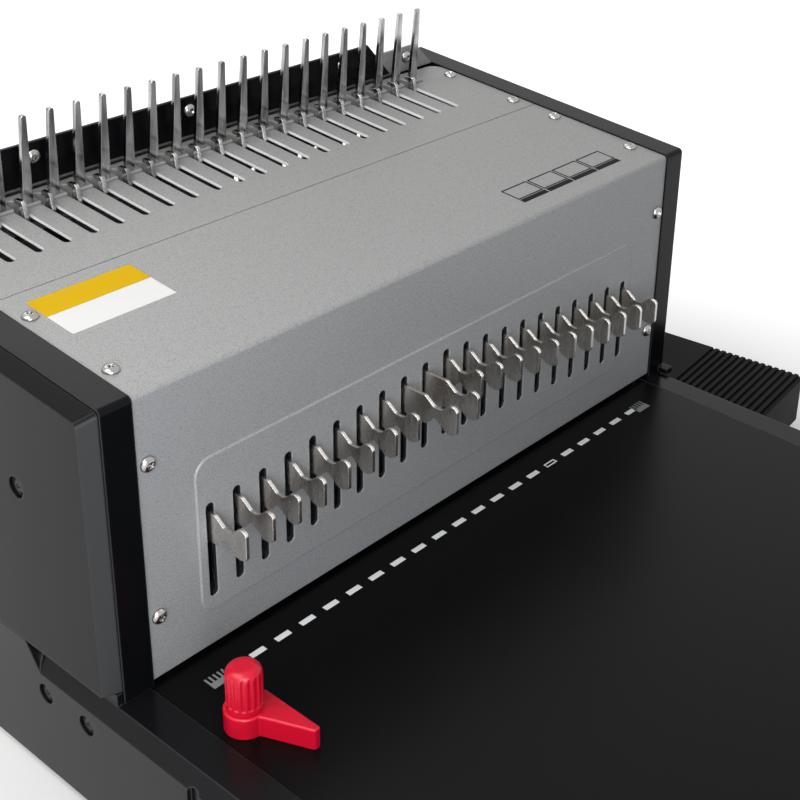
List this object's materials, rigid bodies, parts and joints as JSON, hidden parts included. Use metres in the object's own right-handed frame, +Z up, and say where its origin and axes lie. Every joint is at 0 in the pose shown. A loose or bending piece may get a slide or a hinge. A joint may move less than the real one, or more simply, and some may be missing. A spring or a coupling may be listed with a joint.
{
  "type": "electric comb binding machine",
  "caption": "Electric punch and comb binding machine: staggered pull tabs over a flat deck, upright binding tines behind, red paper stop, chip drawer, side lever and foot pedal.",
  "frame": {"origin": "middle of the bounding box seen from above, on the desk", "axes": "+X to the operator's right along the punch row, +Y from the operator to the rear, +Z up"},
  "size_m": [0.4632, 0.4828, 0.2608],
  "materials": {
    "silver_paint": "satin",
    "black_plastic": "fine grained satin",
    "gloss_deck": "gloss",
    "rubber": "matt",
    "zinc_steel": "satin",
    "bright_steel": "polished",
    "tool_steel": "ground",
    "nickel": "satin nickel",
    "bronze": "satin",
    "motor_paint": "satin",
    "board_green": "matt",
    "red_plastic": "satin gloss"
  },
  "bodies": {
    "chassis": {"base_pan": "black_plastic", "deck_plate": "gloss_deck", "feet": "rubber", "left_frame_plate": "zinc_steel", "right_frame_plate": "zinc_steel", "left_end_cap": "black_plastic", "right_end_cap": "black_plastic", "left_side_cover": "black_plastic", "front_cover": "silver_paint", "comb_panel": "silver_paint", "tine_bar": "bright_steel", "binding_tines": "bright_steel", "rear_cover": "silver_paint", "comb_backrest": "black_plastic", "die_plate": "tool_steel", "punch_guide": "tool_steel", "depth_stop": "tool_steel", "idle_blades": "tool_steel", "shaft_bushes": "bronze", "gear_motor": "motor_paint", "control_board": "board_green", "power_inlet": "black_plastic", "cover_screws": "bright_steel", "pedal_base": "black_plastic", "pedal_pin": "bright_steel"},
    "shaft": {"eccentric_shaft": "bright_steel", "drive_gear": "tool_steel"},
    "pinion": {"motor_pinion": "tool_steel"},
    "ram": {"ram_beam": "tool_steel", "punch_blades": "tool_steel"},
    "tab_01": {"pull_tab_01": "nickel"},
    "tab_02": {"pull_tab_02": "nickel"},
    "tab_03": {"pull_tab_03": "nickel"},
    "tab_04": {"pull_tab_04": "nickel"},
    "tab_05": {"pull_tab_05": "nickel"},
    "tab_06": {"pull_tab_06": "nickel"},
    "tab_07": {"pull_tab_07": "nickel"},
    "tab_08": {"pull_tab_08": "nickel"},
    "tab_09": {"pull_tab_09": "nickel"},
    "tab_10": {"pull_tab_10": "nickel"},
    "tab_11": {"pull_tab_11": "nickel"},
    "tab_12": {"pull_tab_12": "nickel"},
    "tab_13": {"pull_tab_13": "nickel"},
    "tab_14": {"pull_tab_14": "nickel"},
    "tab_15": {"pull_tab_15": "nickel"},
    "tab_16": {"pull_tab_16": "nickel"},
    "tab_17": {"pull_tab_17": "nickel"},
    "tab_18": {"pull_tab_18": "nickel"},
    "tab_19": {"pull_tab_19": "nickel"},
    "tab_20": {"pull_tab_20": "nickel"},
    "tab_21": {"pull_tab_21": "nickel"},
    "opener": {"opener_shaft": "bright_steel", "comb_lever": "bright_steel", "lever_grip": "rubber"},
    "hooks": {"hook_bar": "bright_steel"},
    "stop_arm": {"paper_stop": "red_plastic"},
    "knob": {"stop_knob": "red_plastic"},
    "tray": {"chip_tray": "black_plastic"},
    "pedal": {"pedal_tread": "black_plastic"},
    "switch": {"power_switch": "red_plastic"}
  },
  "joints": [
    {"name": "shaft_turn", "type": "hinge", "parent": "chassis", "child": "shaft", "pos_m": [-0.0326, 0.08056, 0.116], "axis": [1, 0, 0], "range_deg": [0, 180]},
    {"name": "pinion_turn", "type": "hinge", "parent": "chassis", "child": "pinion", "pos_m": [-0.0326, 0.12789, 0.09], "axis": [1, 0, 0], "range_deg": [-515, 0]},
    {"name": "ram_slide", "type": "slide", "parent": "chassis", "child": "ram", "axis": [0, 0, -1], "range_m": [0, 0.0251]},
    {"name": "tab_01_pull", "type": "slide", "parent": "ram", "child": "tab_01", "axis": [0, -1, 0], "range_m": [0, 0.01]},
    {"name": "tab_02_pull", "type": "slide", "parent": "ram", "child": "tab_02", "axis": [0, -1, 0], "range_m": [0, 0.01]},
    {"name": "tab_03_pull", "type": "slide", "parent": "ram", "child": "tab_03", "axis": [0, -1, 0], "range_m": [0, 0.01]},
    {"name": "tab_04_pull", "type": "slide", "parent": "ram", "child": "tab_04", "axis": [0, -1, 0], "range_m": [0, 0.01]},
    {"name": "tab_05_pull", "type": "slide", "parent": "ram", "child": "tab_05", "axis": [0, -1, 0], "range_m": [0, 0.01]},
    {"name": "tab_06_pull", "type": "slide", "parent": "ram", "child": "tab_06", "axis": [0, -1, 0], "range_m": [0, 0.01]},
    {"name": "tab_07_pull", "type": "slide", "parent": "ram", "child": "tab_07", "axis": [0, -1, 0], "range_m": [0, 0.01]},
    {"name": "tab_08_pull", "type": "slide", "parent": "ram", "child": "tab_08", "axis": [0, -1, 0], "range_m": [0, 0.01]},
    {"name": "tab_09_pull", "type": "slide", "parent": "ram", "child": "tab_09", "axis": [0, -1, 0], "range_m": [-0.01, 0]},
    {"name": "tab_10_pull", "type": "slide", "parent": "ram", "child": "tab_10", "axis": [0, -1, 0], "range_m": [-0.01, 0]},
    {"name": "tab_11_pull", "type": "slide", "parent": "ram", "child": "tab_11", "axis": [0, -1, 0], "range_m": [0, 0.01]},
    {"name": "tab_12_pull", "type": "slide", "parent": "ram", "child": "tab_12", "axis": [0, -1, 0], "range_m": [0, 0.01]},
    {"name": "tab_13_pull", "type": "slide", "parent": "ram", "child": "tab_13", "axis": [0, -1, 0], "range_m": [0, 0.01]},
    {"name": "tab_14_pull", "type": "slide", "parent": "ram", "child": "tab_14", "axis": [0, -1, 0], "range_m": [0, 0.01]},
    {"name": "tab_15_pull", "type": "slide", "parent": "ram", "child": "tab_15", "axis": [0, -1, 0], "range_m": [0, 0.01]},
    {"name": "tab_16_pull", "type": "slide", "parent": "ram", "child": "tab_16", "axis": [0, -1, 0], "range_m": [0, 0.01]},
    {"name": "tab_17_pull", "type": "slide", "parent": "ram", "child": "tab_17", "axis": [0, -1, 0], "range_m": [0, 0.01]},
    {"name": "tab_18_pull", "type": "slide", "parent": "ram", "child": "tab_18", "axis": [0, -1, 0], "range_m": [0, 0.01]},
    {"name": "tab_19_pull", "type": "slide", "parent": "ram", "child": "tab_19", "axis": [0, -1, 0], "range_m": [0, 0.01]},
    {"name": "tab_20_pull", "type": "slide", "parent": "ram", "child": "tab_20", "axis": [0, -1, 0], "range_m": [0, 0.01]},
    {"name": "tab_21_pull", "type": "slide", "parent": "ram", "child": "tab_21", "axis": [0, -1, 0], "range_m": [0, 0.01]},
    {"name": "opener_turn", "type": "hinge", "parent": "chassis", "child": "opener", "pos_m": [-0.0326, 0.10456, 0.17345], "axis": [1, 0, 0], "range_deg": [0, 78]},
    {"name": "hooks_slide", "type": "slide", "parent": "chassis", "child": "hooks", "axis": [0, -0.9969, -0.0785], "range_m": [0, 0.03]},
    {"name": "stop_turn", "type": "hinge", "parent": "chassis", "child": "stop_arm", "pos_m": [-0.1986, -0.03644, 0.066], "axis": [0, 0, 1], "range_deg": [-60, 60]},
    {"name": "knob_turn", "type": "hinge", "parent": "stop_arm", "child": "knob", "pos_m": [-0.1986, -0.03644, 0.076], "axis": [0, 0, 1], "range_deg": [0, 180]},
    {"name": "tray_slide", "type": "slide", "parent": "chassis", "child": "tray", "axis": [0, -1, 0], "range_m": [0, 0.25]},
    {"name": "pedal_press", "type": "hinge", "parent": "chassis", "child": "pedal", "pos_m": [0.18933, 0.04731, 0.027], "axis": [0.9936, 0.1132, 0], "range_deg": [0, 5], "stiffness_Nm_per_rad": 4, "springref_deg": -3.44},
    {"name": "switch_rock", "type": "hinge", "parent": "chassis", "child": "switch", "pos_m": [-0.1526, 0.19956, 0.109], "axis": [1, 0, 0], "range_deg": [-20, 0]}
  ],
  "couplings": [
    {"joint": "ram_slide", "follows": "shaft_turn", "m_per_rad": 0.0079577},
    {"joint": "pinion_turn", "follows": "shaft_turn", "ratio": -2.8571},
    {"joint": "hooks_slide", "follows": "opener_turn", "m_per_rad": 0.022}
  ]
}
